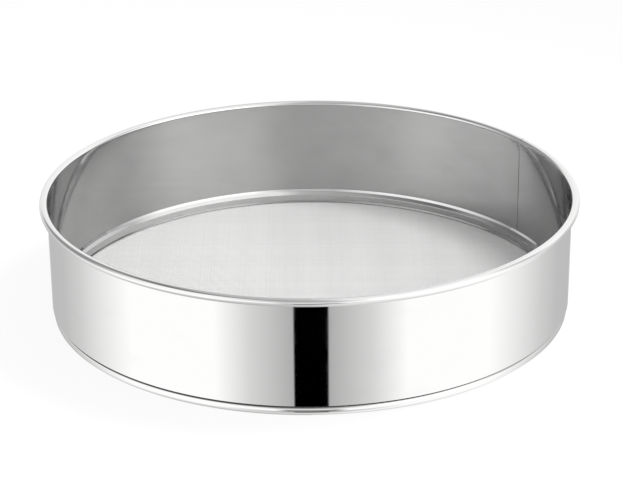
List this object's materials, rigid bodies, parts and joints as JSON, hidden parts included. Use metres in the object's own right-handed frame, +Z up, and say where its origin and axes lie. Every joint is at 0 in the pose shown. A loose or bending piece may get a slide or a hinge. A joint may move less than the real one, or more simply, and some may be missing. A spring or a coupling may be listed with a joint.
{
  "type": "drum sieve",
  "caption": "Round steel drum sieve: polished wall with a curled wired rim, a wire-cloth floor held by an inner clamp hoop, and a crimped foot ring, for sifting flour.",
  "frame": {"origin": "on the drum's axis, on the surface that the sieve stands on", "axes": "+Z up along the drum's axis, -Y towards the viewer of the picture, +X to the right"},
  "size_m": [0.3084, 0.3084, 0.069],
  "materials": {
    "polished_steel": "mirror-polished stainless sheet",
    "rim_steel": "drawn stainless wire",
    "cloth_steel": "woven stainless wire"
  },
  "bodies": {
    "root": {"drum_wall": "polished_steel", "rim_wire": "rim_steel", "clamp_hoop": "polished_steel", "foot_ring": "polished_steel", "mesh_weft": "cloth_steel", "mesh_warp": "cloth_steel"}
  },
  "joints": []
}
